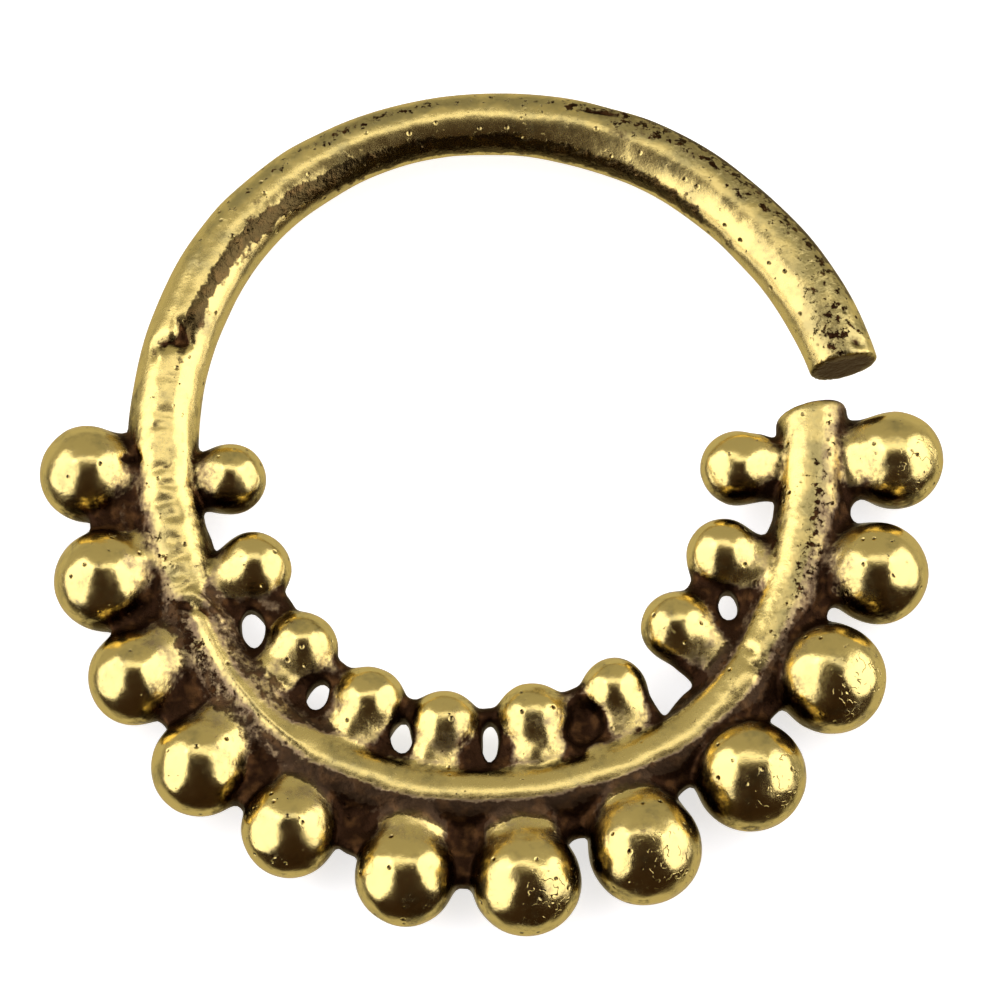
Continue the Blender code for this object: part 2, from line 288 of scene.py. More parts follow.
def along_hoop(points):
    """Each point's angle round the hoop, kept between the two cut ends, and its distance outward
    from the wire's middle line, measured square to the wire."""
    gap_middle = (FIRST_ANGLE + LAST_ANGLE - 360) / 2
    angles = np.degrees(np.arctan2(points[:, 1], points[:, 0])) % 360
    angles = np.where(angles < gap_middle, angles + 360, angles)
    angles = np.clip(angles, FIRST_ANGLE, LAST_ANGLE)
    small_turn = 0.1
    steps = np.arange(FIRST_ANGLE, LAST_ANGLE, small_turn)
    middles, squares = hoop_point(steps), outward(steps)
    middle_x, middle_y = (np.interp(angles, steps, middles[:, axis]) for axis in (0, 1))
    square_x, square_y = (np.interp(angles, steps, squares[:, axis]) for axis in (0, 1))
    out = (points[:, 0] - middle_x) * square_x + (points[:, 1] - middle_y) * square_y
    return angles, out


def beyond_cut(points, angle, skew, side):
    """Distance past a cut end: measured along the wire's run there, turned by the cut's skew."""
    square = outward(np.array(angle))
    run = math.atan2(square[1], square[0]) + math.pi / 2 + math.radians(skew)
    offset = points - hoop_point(np.array(angle))
    return side * (offset[:, 0] * math.cos(run) + offset[:, 1] * math.sin(run))


def wire_distance(points, angles, out):
    """The bent wire: the distance from its middle line less its radius, cut flat at both ends."""
    small_turn, end_span = 0.5, 20
    rise = points[:, 2] - WIRE_HEIGHT
    steps = np.arange(FIRST_ANGLE, LAST_ANGLE, small_turn)
    radius = np.interp(angles, steps, wire_radius(steps))
    distance = np.hypot(out, rise) - radius
    near_ends = np.minimum(angles - FIRST_ANGLE, LAST_ANGLE - angles) < end_span
    ends = points[near_ends]
    upper = beyond_cut(ends, FIRST_ANGLE, UPPER_CUT_SKEW, -1)
    lower = beyond_cut(ends, LAST_ANGLE, LOWER_CUT_SKEW, 1)
    at_upper = angles[near_ends] < 180
    cut = np.where(at_upper, upper, lower)
    rim = np.where(at_upper, UPPER_RIM, LOWER_RIM)
    distance[near_ends] = most(distance[near_ends], cut, rim)
    return distance


def bar_distance(points, start, finish, start_half, finish_half):
    """A tapered bar with an oval section, from its half width and half height at both ends: how far
    a point is from the bar's middle as a share of the oval's size there, scaled back to a length."""
    tiny = 1e-6
    run = finish - start
    offset = points - start
    along = np.clip(offset @ run / (run @ run), 0, 1)
    wide = start_half[0] + (finish_half[0] - start_half[0]) * along
    high = start_half[1] + (finish_half[1] - start_half[1]) * along
    offset = offset - along[:, None] * run
    side = np.hypot(offset[:, 0], offset[:, 1]) / wide
    rise = offset[:, 2] / high
    share = np.hypot(side, rise) + tiny
    pull = np.hypot(side / wide, rise / high) + tiny
    return share * (share - 1) / pull


def web_edge(granules, diameter, side):
    """Angles round a row and the web's reach from the wire's middle at each: the granules' middles,
    and between two of them a parabola that dips to the web's own share of the way."""
    small_turn, steps = 0.1, 21
    angles, reaches = [granules[0].angle - small_turn], [-FAR]
    for granule, following in zip(granules, granules[1:]):
        ends = []
        for each in (granule, following):
            middle, _ = granule_middle(each, diameter, side)
            ends.append(math.hypot(middle[0], middle[1]) - hoop_reach(each.angle))
        share = np.linspace(0, 1, steps)
        line = side * (ends[0] + (ends[1] - ends[0]) * share)
        dip = granule.web + (1 - granule.web) * (2 * share - 1) ** 2
        angles.extend(granule.angle + (following.angle - granule.angle) * share)
        reaches.extend(np.where(granule.web > 0, line * dip, -FAR))
    angles.append(granules[-1].angle + small_turn)
    reaches.append(-FAR)
    return np.array(angles), np.array(reaches)


def web_distance(points, angles, out, granules, diameter, side):
    """The metal between a row's granules: a plate about the wire's middle height, out to its edge."""
    edge = np.interp(angles, *web_edge(granules, diameter, side), left=-FAR, right=-FAR)
    flat = np.abs(points[:, 2] - WIRE_HEIGHT) - WEB_THICKNESS / 2
    across = np.maximum(side * out - edge, -side * out)
    return most(across, flat, WEB_FILLET)


def hole_distance(points, hole):
    """An upright oval hole down to its floor: distance from its middle line in shares of its half
    width and length, scaled back to a length."""
    floor_rim = 0.15
    long_way = rays(hole.turn)
    offset = points - rays(hole.angle) * HOOP_RADIUS * hole.reach
    along = offset @ long_way / (hole.length / 2)
    across = (offset[:, 1] * long_way[0] - offset[:, 0] * long_way[1]) / (hole.width / 2)
    side = (np.hypot(along, across) - 1) * min(hole.width, hole.length) / 2
    return most(side, hole.floor - points[:, 2], floor_rim)


def lumps(points, size, seed):
    """Smooth random lumps between -1 and 1: random values at the corners of cubes of the given size,
    eased between the corners."""
    count = 96
    values = np.random.default_rng(seed).uniform(-1, 1, (count, count, count)).astype(np.float32)
    place = points / size + 0.5 * count
    corner = np.floor(place).astype(int)
    share = place - corner
    share = share * share * (3 - 2 * share)
    total = np.zeros(len(points))
    for step in np.ndindex(2, 2, 2):
        weight = np.prod(np.where(step, share, 1 - share), axis=1)
        total += weight * values[tuple(((corner + step) % count).T)]
    return total


def ball_distance(points, middle, radius):
    """A ball: the distance from its middle less its radius."""
    return np.linalg.norm(points - middle, axis=1) - radius


def blend_near(distance, points, middle, reach, blend, form, *sizes):
    """Blend a form into the distances, only at the points within reach of its middle."""
    offset = points - middle
    near = np.einsum("ij,ij->i", offset, offset) < reach**2
    distance[near] = least(distance[near], form(points[near], *sizes), blend)


def placed_granules():
    """Every granule's middle and radius, the wire's middle beside it, and its neck's half width and
    half height at the wire and at the granule."""
    placed = []
    for granules, diameter, side, shape in GRANULE_ROWS:
        for granule in granules:
            middle, radius = granule_middle(granule, diameter, side)
            if side > 0:
                middle[2] = radius - RUBBED_DEPTH
            at_wire = radius * shape.at_wire, radius * granule.rise
            at_granule = radius * shape.at_granule, radius * shape.high
            start = hoop_point(np.array(granule.angle))
            placed.append((middle, radius, start, at_wire, at_granule))
    return placed


def blend_necks(distance, points):
    """Blend every granule's neck into the distances: an oval bar from the wire's middle."""
    for middle, _, start, at_wire, at_granule in placed_granules():
        sizes = start, middle, at_wire, at_granule
        halfway = (start + middle) / 2
        blend_near(distance, points, halfway, NECK_REACH, NECK_FILLET, bar_distance, *sizes)


def blend_bridges(distance, points):
    """Blend the bars that join neighbouring inner granules into the distances."""
    half = BRIDGE_DIAMETER / 2, BRIDGE_DIAMETER / 2
    for granule, following in zip(INNER_GRANULES, INNER_GRANULES[1:]):
        if granule.bridge:
            start, _ = granule_middle(granule, INNER_GRANULE_DIAMETER, -1)
            finish, _ = granule_middle(following, INNER_GRANULE_DIAMETER, -1)
            sizes = start, finish, half, half
            halfway = (start + finish) / 2
            blend_near(distance, points, halfway, BRIDGE_REACH, NECK_FILLET, bar_distance, *sizes)


def blend_granules(distance, points):
    """Blend every granule's ball into the distances."""
    for middle, radius, *_ in placed_granules():
        reach, sizes = radius + GRANULE_REACH, (middle, radius)
        blend_near(distance, points, middle, reach, GRANULE_FILLET, ball_distance, *sizes)


def carve_holes(distance, points):
    """Cut the small holes between the inner necks, down to their floors."""
    for hole in HOLES:
        offset = points - rays(hole.angle) * HOOP_RADIUS * hole.reach
        near = np.hypot(offset[:, 0], offset[:, 1]) < HOLE_REACH
        distance[near] = most(distance[near], -hole_distance(points[near], hole), hole.rim)


def roughen(distance, points, lump, seed):
    """Raise and sink the skin by smooth random lumps of a height and a width."""
    near = np.abs(distance) < SKIN
    height, width = lump
    distance[near] += height * lumps(points[near], width, seed)


def dent(distance, points):
    """Press each dent into the wire's skin: its depth times a bell curve of how far a point is from
    its middle, along its length, across its width and through the skin."""
    through_skin = 0.3
    for mark in DENTS:
        angle = np.array(mark.angle)
        turn, run = math.radians(mark.turn), math.radians(mark.run)
        square = outward(angle)
        radius = float(wire_radius(angle))
        skin = square * math.sin(turn) + np.array([0, 0, math.cos(turn)])
        middle = hoop_point(angle) + skin * radius
        onward = np.array([-square[1], square[0], 0])
        over = np.cross(skin, onward)
        along = onward * math.cos(run) + over * math.sin(run)
        across = np.cross(skin, along)
        offset = points - middle
        near = np.einsum("ij,ij->i", offset, offset) < DENT_REACH**2
        place = offset[near]
        spread = (place @ along / mark.length) ** 2 + (place @ across / mark.width) ** 2
        spread += (place @ skin / through_skin) ** 2
        distance[near] += mark.depth * np.exp(-2 * spread)


def lap_value(angles, column):
    """A column of the laps' table at any angles, on straight lines between its rows."""
    rows = [lap.angle for lap in LAPS]
    return np.interp(angles, rows, [getattr(lap, column) for lap in LAPS])


def ring_distance(points):
    """Distance to the whole fused ring: negative inside the metal. The necks, bridges and webs are
    blended and pierced, then the granules and the wire, and last come the dents and the table."""
    angles, out = along_hoop(points)
    rows = np.full(len(points), FAR)
    blend_necks(rows, points)
    blend_bridges(rows, points)
    for granules, diameter, side, _ in GRANULE_ROWS:
        web = web_distance(points, angles, out, granules, diameter, side)
        rows = least(rows, web, WEB_FILLET)
    roughen(rows, points, WEB_SWELL, SEED + 2)
    carve_holes(rows, points)
    roughen(rows, points, WEB_LUMP, SEED + 1)
    blend_granules(rows, points)
    distance = least(wire_distance(points, angles, out), rows, lap_value(angles, "fillet"))
    roughen(distance, points, WIRE_LUMP, SEED)
    dent(distance, points)
    return most(distance, -points[:, 2], RUBBED_RIM)


def grid_lines():
    """The grid's lines along each axis, a little wider than the ring on every side."""
    limits = (-8.1, 8.1), (-8.75, 6.9), (-0.1, 2.1)
    return tuple(np.arange(low, high, GRID_STEP) for low, high in limits)


def untangled(values):
    """Values without a crosswise cell face, whose corners are inside and outside in turn and would
    pinch the surface to a line: the corner nearest to the surface moves to its other side."""
    values = values.copy()
    rounds, just_across = 6, -0.01
    corner_steps = ((0, 0), (0, 1), (1, 1), (1, 0))
    for _ in range(rounds):
        for axis in range(3):
            turned = np.moveaxis(values, axis, 2)
            rows, columns = turned.shape[0] - 1, turned.shape[1] - 1
            corners = [turned[i : i + rows, j : j + columns] for i, j in corner_steps]
            inside = [corner < 0 for corner in corners]
            crosswise = (inside[0] == inside[2]) & (inside[1] == inside[3]) & (inside[0] != inside[1])
            faces = np.argwhere(crosswise)
            sizes = np.stack([np.abs(corner[crosswise]) for corner in corners])
            faces[:, :2] += np.array(corner_steps)[np.argmin(sizes, axis=0)]
            turned[tuple(faces.T)] *= just_across
    return values


def surface_net(values, lines):
    """Points and four-cornered faces where the values change sign: one point in each cube that the
    surface crosses, at the mean of the crossings on the cube's edges, and one face for each grid
    edge that is crossed, through the four cubes round it."""
    inside = values < 0
    shape = np.array(values.shape) - 1
    total = np.zeros((*shape, 3))
    crossings = np.zeros(shape)
    corners = np.stack(np.meshgrid(*map(np.arange, shape), indexing="ij"), axis=-1)
    for axis in range(3):
        for steps in np.ndindex(2, 2):
            low, high = np.insert(steps, axis, 0), np.insert(steps, axis, 1)
            first = values[tuple(slice(at, at + count) for at, count in zip(low, shape))]
            second = values[tuple(slice(at, at + count) for at, count in zip(high, shape))]
            crossed = (first < 0) != (second < 0)
            share = first[crossed] / (first[crossed] - second[crossed])
            place = (corners[crossed] + low).astype(float)
            place[:, axis] += share
            total[crossed] += place
            crossings += crossed
    used = crossings > 0
    points = total[used] / crossings[used][:, None]
    number = np.full(tuple(shape), -1)
    number[used] = np.arange(used.sum())
    faces = []
    for axis in range(3):
        before = [slice(1, -1)] * 3
        after = [slice(1, -1)] * 3
        before[axis], after[axis] = slice(0, -1), slice(1, None)
        first, second = inside[tuple(before)], inside[tuple(after)]
        places = np.argwhere(first != second)
        places += np.insert((1, 1), axis, 0)
        round_edge = [np.insert(steps, axis, 0) for steps in ((-1, -1), (0, -1), (0, 0), (-1, 0))]
        quad = np.stack([number[tuple((places + step).T)] for step in round_edge], axis=1)
        turned = first[first != second] ^ (axis == 1)
        quad[~turned] = quad[~turned][:, ::-1]
        faces.append(quad)
    start = np.array([line[0] for line in lines])
    return start + points * GRID_STEP, np.concatenate(faces)


def slope(distance_of, points):
    """The direction in which a distance grows fastest, from differences over a small step."""
    step = 0.004
    columns = []
    for axis in range(3):
        shift = np.zeros(3)
        shift[axis] = step
        columns.append(distance_of(points + shift) - distance_of(points - shift))
    return np.stack(columns, axis=1) / (2 * step)


def pulled_onto(distance_of, points, rounds):
    """Points moved onto the surface: against the slope by the distance over the slope's size, and
    by no more than one grid step in a round."""
    tiny_size, tiny_length = 1e-9, 1e-12
    for _ in range(rounds):
        run = slope(distance_of, points)
        size = np.einsum("ij,ij->i", run, run) + tiny_size
        shift = -(distance_of(points) / size)[:, None] * run
        length = np.linalg.norm(shift, axis=1, keepdims=True) + tiny_length
        points = points + shift * np.minimum(1, GRID_STEP / length)
    return points


def room_lookup(values, lines):
    """A quick way to read distances back from the grid: the value at the nearest grid point, and
    open air beyond the grid."""
    start = np.array([line[0] for line in lines])
    top = np.array(values.shape) - 1

    def room(places):
        cells = np.rint((places - start) / GRID_STEP).astype(int)
        outside = np.any((cells < 0) | (cells > top), axis=1)
        found = values[tuple(np.clip(cells, 0, top).T)]
        return np.where(outside | (places[:, 2] < 0), FAR, found)

    return room


def shut_in(room, points, normals, reach):
    """How shut in each point is, from 0 on open skin to 1 in a crevice: the share of the directions
    over it, on two rings of slants about its normal, in which metal stands within reach."""
    nearly_upright = 0.7
    upright = np.abs(normals[:, 2:]) > nearly_upright
    side = np.cross(normals, np.where(upright, (1.0, 0.0, 0.0), (0.0, 0.0, 1.0)))
    side /= np.linalg.norm(side, axis=1, keepdims=True)
    over = np.cross(normals, side)
    total, ways = np.zeros(len(points)), 0
    for slant, count in LOOKING_RINGS:
        up, out = math.cos(math.radians(slant)), math.sin(math.radians(slant))
        for turn in np.arange(count) * 2 * math.pi / count:
            way = normals * up + (side * math.cos(turn) + over * math.sin(turn)) * out
            blocked = np.zeros(len(points))
            for share in LOOKING_SHARES:
                rise = reach * share
                lift = room(points + way * rise)
                blocked = np.maximum(blocked, 1 - lift / (LOOKING_SOFTNESS * rise))
            total += np.clip(blocked, 0, 1)
            ways += 1
    return total / ways


def stepped(values, low, high):
    """0 below low and 1 above high, on a smooth curve between them."""
    share = np.clip((values - low) / (high - low), 0, 1)
    return share * share * (3 - 2 * share)


def near_skin(lift, start, fade):
    """1 close to a skin and 0 away from it: start less the distance from the skin in fades, kept
    between 0 and 1."""
    return np.clip(start - lift / fade, 0, 1)


def facing(points, middle, side):
    """Each point's distance from a granule's middle, and how squarely it faces a side: the cosine
    of the angle between the two."""
    least_reach = 0.1
    offset = points - middle
    reach = np.linalg.norm(offset, axis=1)
    return reach, offset @ side / np.maximum(reach, least_reach)


def on_granule(points):
    """1 on a granule's ball and 0 away from it, and the same less the side that faces the wire."""
    ball, open_side = np.zeros(len(points)), np.zeros(len(points))
    for middle, radius, start, *_ in placed_granules():
        towards_wire = (start - middle) / np.linalg.norm(start - middle)
        reach, cosine = facing(points, middle, towards_wire)
        here = near_skin(np.abs(reach - radius), 1, 0.08)
        ball = np.maximum(ball, here)
        open_side = np.maximum(open_side, here * (1 - stepped(cosine, 0.35, 0.85)))
    return ball, open_side


def wire_turn(points):
    """How far round the wire from its crest each point is, in degrees towards the outside, with the
    point's angle round the hoop and its distance from the wire's skin."""
    angles, out = along_hoop(points)
    rise = points[:, 2] - WIRE_HEIGHT
    turn = np.degrees(np.arctan2(out, rise))
    return turn, angles, np.abs(np.hypot(out, rise) - wire_radius(angles))


def within_laps(points):
    """How many degrees each point is inside the nearer limit of the wire's polish, with the point's
    angle round the hoop and its distance from the wire's skin."""
    turn, angles, lift = wire_turn(points)
    inside = lap_value(angles, "inner") + turn
    outside = lap_value(angles, "outer") - turn
    return np.minimum(inside, outside), angles, lift


def polished_share(points, open_side, shelter_and_shade):
    """1 where a cloth reaches: the open sides of the balls and the wire between its laps' limits,
    and less on the necks, the less the more sheltered they are."""
    within, angles, lift = within_laps(points)
    on_wire = near_skin(lift, 1.4, 0.12)
    wire = on_wire * stepped(within, -8, 8)
    neck = NECK_POLISH * (1 - stepped(shelter_and_shade, 0.12, 0.50))
    neck *= 1 - on_wire * lap_value(angles, "soot")
    return np.maximum(np.maximum(open_side, wire), neck)


def on_cut(points):
    """1 on the two cut faces inside their rims, and 0 away from them: a thin slice at each end, kept
    off the wire's skin."""
    end_span, slice_depth, fade = 8, 0.06, 0.03
    upper = beyond_cut(points, FIRST_ANGLE, UPPER_CUT_SKEW, -1)
    lower = beyond_cut(points, LAST_ANGLE, LOWER_CUT_SKEW, 1)
    _, angles, lift = wire_turn(points)
    near_upper = np.abs(upper) + (angles > FIRST_ANGLE + end_span) * FAR
    near_lower = np.abs(lower) + (angles < LAST_ANGLE - end_span) * FAR
    face = stepped(slice_depth - np.minimum(near_upper, near_lower), 0, fade)
    return face * stepped(lift, 0.01, 0.06)


def flank_dark_reflection_and_tarnish(points):
    """How dark the flanks are painted: a painted dark reflection with tarnish, from the laps' last
    column, growing past the limits of their polish.
    """
    within, angles, lift = within_laps(points)
    return lap_value(angles, "soot") * stepped(-within, -5, 13) * near_skin(lift, 2.4, 0.1)


def stained(points, stains):
    """The sum of the stains at each point: bell curves of the angle and the turn, and no more
    than 1."""
    turn, angles, lift = wire_turn(points)
    total = np.zeros(len(points))
    for stain in stains:
        spread = ((angles - stain.angle) / stain.span) ** 2 + ((turn - stain.turn) / stain.spread) ** 2
        total += np.exp(-spread)
    return np.clip(total, 0, 1) * near_skin(lift, 1.5, 0.1)


def scratched(points):
    """1 on the side of the scratched granules where the scratches are and 0 away from it."""
    total = np.zeros(len(points))
    placed = placed_granules()
    skin = 0.1
    for number in SCRATCHED:
        middle, radius, *_ = placed[number]
        reach, cosine = facing(points, middle, SCRATCHED_SIDE)
        total = np.maximum(total, stepped(cosine, 0.70, 0.95) * (reach < radius + skin))
    return total


def in_scene(name, data):
    """A new object with this name and data, linked into the scene."""
    made = bpy.data.objects.new(name, data)
    bpy.context.scene.collection.objects.link(made)
    return made


def add_attribute(mesh, name, values):
    """Keep one number for each point of the mesh under a name that a material can read."""
    attribute = mesh.attributes.new(name, "FLOAT", "POINT")
    attribute.data.foreach_set("value", values.astype(np.float32))


def wear(points, room):
    """The numbers that the brass follows, by name, for each point of the ring. Off the wire and the open
    sides of the balls, the shelter is less on top and more low down, so that the painted shade that it
    drives is darker towards the bottom."""
    web_top, fade, less_on_top, more_low_down = 0.34, 0.12, 0.12, 0.52
    normals = slope(ring_distance, points)
    normals /= np.linalg.norm(normals, axis=1, keepdims=True)
    ball, open_side = on_granule(points)
    shelter_and_shade = shut_in(room, points, normals, SHELTER_REACH)
    low_down = stepped(WIRE_HEIGHT + web_top - points[:, 2], 0, fade)
    off_wire = stepped(wire_turn(points)[2], 0.02, 0.10)
    # Painted shade: more shelter low down and less on top paints the metal darker towards the bottom
    shelter_and_shade += (more_low_down * low_down - less_on_top) * off_wire * (1 - open_side)
    hurt = np.zeros(len(points))
    dent(hurt, points)
    return {
        # How shut in the skin is, near and farther off: it drives both the matt brass and the painted
        # shade
        "crevice": shut_in(room, points, normals, CREVICE_REACH),
        "shelter_and_shade": shelter_and_shade,
        "granule": ball,
        "polished": polished_share(points, open_side, shelter_and_shade),
        "pitted": stained(points, PITTED),
        # Painted dark reflections with tarnish on the wire
        "dark_reflection_and_tarnish": np.maximum(stained(points, DARK_REFLECTION_AND_TARNISH), flank_dark_reflection_and_tarnish(points)),
        "flaw": np.clip(hurt / DARKEST_FLAW, 0, 1),
        "cut": on_cut(points),
        "scratched": scratched(points),
    }


def cad_shift(points):
    """How far to move the ring flat on the table, so that its box has the middle of the CAD's box."""
    low, high = points.min(axis=0), points.max(axis=0)
    cad_low, cad_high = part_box("nose_ring")
    shift = (np.array(cad_low) + np.array(cad_high)) / 2 / MILLIMETRE - (low + high) / 2
    shift[2] = 0
    return shift


def fused_brass_ring():
    """The whole ring as one mesh in the CAD's place, and how far it was moved to be there."""
    lines = grid_lines()
    grid = np.stack(np.meshgrid(*lines, indexing="ij"), axis=-1)
    values = ring_distance(grid.reshape(-1, 3)).reshape(grid.shape[:3])
    points, faces = surface_net(untangled(values), lines)
    points = pulled_onto(ring_distance, points, rounds=3)
    shift = cad_shift(points)
    mesh = bpy.data.meshes.new("fused_brass_ring")
    mesh.from_pydata(((points + shift) * MILLIMETRE).tolist(), [], faces.tolist())
    mesh.update()
    for name, amounts in wear(points, room_lookup(values, lines)).items():
        add_attribute(mesh, name, amounts)
    mesh.shade_smooth()
    return in_scene("fused_brass_ring", mesh), shift


def node(tree, kind, *inputs, **settings):
    """Add a node, set its options, and fill its sockets in order: a socket is linked, a number, a
    vector or a colour is set, and None leaves the socket as it is."""
    made = tree.nodes.new(kind)
    for option, value in settings.items():
        setattr(made, option, value)
    for socket, value in zip(made.inputs, inputs):
        if isinstance(value, bpy.types.NodeSocket):
            tree.links.new(value, socket)
        elif value is not None:
            socket.default_value = value
    return made


def math_value(tree, operation, *inputs):
    """The result of one Math node."""
    return node(tree, "ShaderNodeMath", *inputs, operation=operation).outputs[0]


def product(tree, first, second):
    """One value times another."""
    return math_value(tree, "MULTIPLY", first, second)


def with_more(tree, value, by, amount):
    """A value and another times an amount, added up."""
    return math_value(tree, "MULTIPLY_ADD", by, amount, value)


def without(tree, value, taken):
    """A value less another."""
    return math_value(tree, "SUBTRACT", value, taken)


def greatest(tree, value, *others):
    """The greatest of several values."""
    for other in others:
        value = math_value(tree, "MAXIMUM", value, other)
    return value


def along_axis(tree, way, axis):
    """How far a direction runs along an axis: the cosine of the angle between them."""
    return node(tree, "ShaderNodeVectorMath", way, axis, operation="DOT_PRODUCT").outputs[1]


def eased(tree, value, low, high):
    """0 below low and 1 above high, on a smooth curve between them."""
    made = node(
        tree, "ShaderNodeMapRange", value, low, high, 0.0, 1.0, interpolation_type="SMOOTHSTEP"
    )
    return made.outputs[0]


def mixed(tree, share, first, second):
    """A colour between two others."""
    made = tree.nodes.new("ShaderNodeMix")
    made.data_type = "RGBA"
    for name, value in (("Factor_Float", share), ("A_Color", first), ("B_Color", second)):
        socket = next(each for each in made.inputs if each.identifier == name)
        if isinstance(value, bpy.types.NodeSocket):
            tree.links.new(value, socket)
        else:
            socket.default_value = value
    return next(each for each in made.outputs if each.identifier == "Result_Color")


def noise(tree, place, pattern):
    """Blender's noise, 0 to 1, with a pattern's lumps."""
    made = node(tree, "ShaderNodeTexNoise", normalize=True)
    tree.links.new(place, made.inputs["Vector"])
    made.inputs["Scale"].default_value = 1 / (pattern.width * MILLIMETRE)
    made.inputs["Detail"].default_value = pattern.detail
    made.inputs["Roughness"].default_value = pattern.roughness
    return made.outputs[0]


def pits(tree, place):
    """Round pits, 1 at the middle and 0 outside: the cells of a Voronoi pattern, of which only a
    share has a pit."""
    made = node(tree, "ShaderNodeTexVoronoi")
    tree.links.new(place, made.inputs["Vector"])
    made.inputs["Scale"].default_value = 1 / (PIT_SPACING * MILLIMETRE)
    inside = without(tree, 1.0, eased(tree, made.outputs[0], 0.0, PIT_RADIUS / PIT_SPACING))
    chosen = node(tree, "ShaderNodeSeparateXYZ", made.outputs[1]).outputs[0]
    return product(tree, inside, math_value(tree, "LESS_THAN", chosen, PIT_SHARE))


def named(tree, name):
    """A number kept for each point of the mesh."""
    return node(tree, "ShaderNodeAttribute", attribute_name=name).outputs["Fac"]


def raised(tree, value, by, amount):
    """A value with a noise centred on zero added by an amount."""
    return with_more(tree, value, without(tree, by, 0.5), amount)


# The random patterns in the brass. width: of one lump, in millimetres. detail and roughness: how many
# finer patterns are laid over it, and how strong these are.
Pattern = namedtuple("Pattern", "width detail roughness")
PATCHES = Pattern(0.50, 3, 0.60)
WAVES = Pattern(0.55, 1, 0.45)
HAMMER_MARKS = Pattern(0.20, 1, 0.50)
CAST_GRAIN = Pattern(0.08, 3, 0.65)
SPECKS = Pattern(0.16, 4, 0.66)
SCRATCH_LINES = Pattern(0.17, 1, 0.50)

# How thin the scratches are, as a share of their pattern's heights, and the size of the small round
# pits: from one to the next, their radius, and the share of them that is there
SCRATCH_THIN = 0.030
PIT_SPACING = 0.25
PIT_RADIUS = 0.055
PIT_SHARE = 0.36

# How high the fine relief is, in millimetres
RELIEF = 0.035

# The metal's colours, from polished to the near black of painted shade, painted dark reflections and
# tarnish, and what the light takes on where it grazes the metal
POLISHED = (0.83, 0.64, 0.215, 1)
OLIVE = (0.40, 0.33, 0.13, 1)
MOSS = (0.20, 0.155, 0.060, 1)
MATT = (0.37, 0.255, 0.14, 1)
# BROWN and RUSSET are the near black of painted shade and painted dark reflections, with tarnish
BROWN = (0.028, 0.011, 0.004, 1)
RUSSET = (0.086, 0.038, 0.012, 1)
CUT_FACE = (0.062, 0.026, 0.008, 1)
GRAZING_TINT = (0.90, 0.81, 0.58, 1)


def matt_share(tree, patches, grain):
    """How matt the brass is: what a cloth leaves unpolished and half of its crevices, in uneven
    patches and grain."""
    matt = without(tree, 1.0, named(tree, "polished"))
    matt = raised(tree, raised(tree, matt, patches, 1.1), grain, 0.7)
    return eased(tree, with_more(tree, matt, named(tree, "crevice"), 0.5), 0.20, 0.95)


def painted_dark_and_tarnish_share(tree, patches, hammered, grain):
    """How dark the brass is painted: painted shade and patina by its shelter and its crevices, or
    painted dark reflections and tarnish on the wire, whichever is more, both in uneven patches and
    grain."""
    # Painted shade: darker in the crevices and where sheltered, which also stands for patina there
    deep = with_more(tree, named(tree, "shelter_and_shade"), named(tree, "crevice"), 0.8)
    deep = raised(tree, raised(tree, deep, patches, 0.5), grain, 0.35)
    # Painted dark reflections on the wire, with tarnish
    dark_reflection_and_tarnish = raised(tree, raised(tree, named(tree, "dark_reflection_and_tarnish"), patches, 1.0), hammered, 0.9)
    dark_reflection_and_tarnish = eased(tree, raised(tree, dark_reflection_and_tarnish, grain, 0.8), 0.30, 0.62)
    return greatest(tree, eased(tree, deep, 0.20, 0.66), product(tree, dark_reflection_and_tarnish, 0.90))


def pit_share(tree, place, pitted):
    """1 in a pit and 0 outside: the small round pits, and specks where their noise is high, which
    are more where the skin is pitted."""
    specks = with_more(tree, noise(tree, place, SPECKS), pitted, 0.19)
    return greatest(tree, pits(tree, place), eased(tree, specks, 0.68, 0.75))


def scratch_share(tree, place, hammered):
    """1 on a thin crooked scratch, where a noise passes through its middle value, and 0 off it and
    away from the scratched sides."""
    where = product(tree, named(tree, "scratched"), eased(tree, hammered, 0.48, 0.62))
    away = math_value(tree, "ABSOLUTE", without(tree, noise(tree, place, SCRATCH_LINES), 0.5))
    return product(tree, where, without(tree, 1.0, eased(tree, away, 0.0, SCRATCH_THIN)))


def brass_colour(tree, matt, dark, pitted, patches, hammered, grain):
    """The metal's colour: polished, under tarnish in patches, then matt, then near black where shade and
    dark reflections are painted with tarnish, and the cut faces, each laid over the last by its share."""
    tarnish = eased(tree, with_more(tree, patches, pitted, 0.34), 0.46, 0.78)
    mossy = eased(tree, product(tree, pitted, grain), 0.3, 0.6)
    tarnished = mixed(tree, mossy, OLIVE, MOSS)
    # The near black of the painted shade and painted dark reflections, with tarnish
    soot = mixed(tree, eased(tree, hammered, 0.45, 0.75), BROWN, RUSSET)
    colour = mixed(tree, product(tree, tarnish, 0.8), POLISHED, tarnished)
    colour = mixed(tree, dark, mixed(tree, matt, colour, MATT), soot)
    return mixed(tree, named(tree, "cut"), colour, CUT_FACE)


def brass_relief(tree, place, rough_parts, granule, hammered, grain):
    """The height of the fine relief: slow waves, stronger on the balls, and hammer marks and grain,
    stronger on the rough parts and weaker on the balls."""
    height = product(tree, noise(tree, place, WAVES), with_more(tree, 0.95, granule, 0.55))
    rough_parts = product(tree, rough_parts, with_more(tree, 1.0, granule, -0.75))
    for pattern, strength in ((hammered, 0.75), (grain, 0.45)):
        strength = with_more(tree, 0.08, rough_parts, strength)
        height = with_more(tree, height, without(tree, pattern, 0.5), strength)
    return height


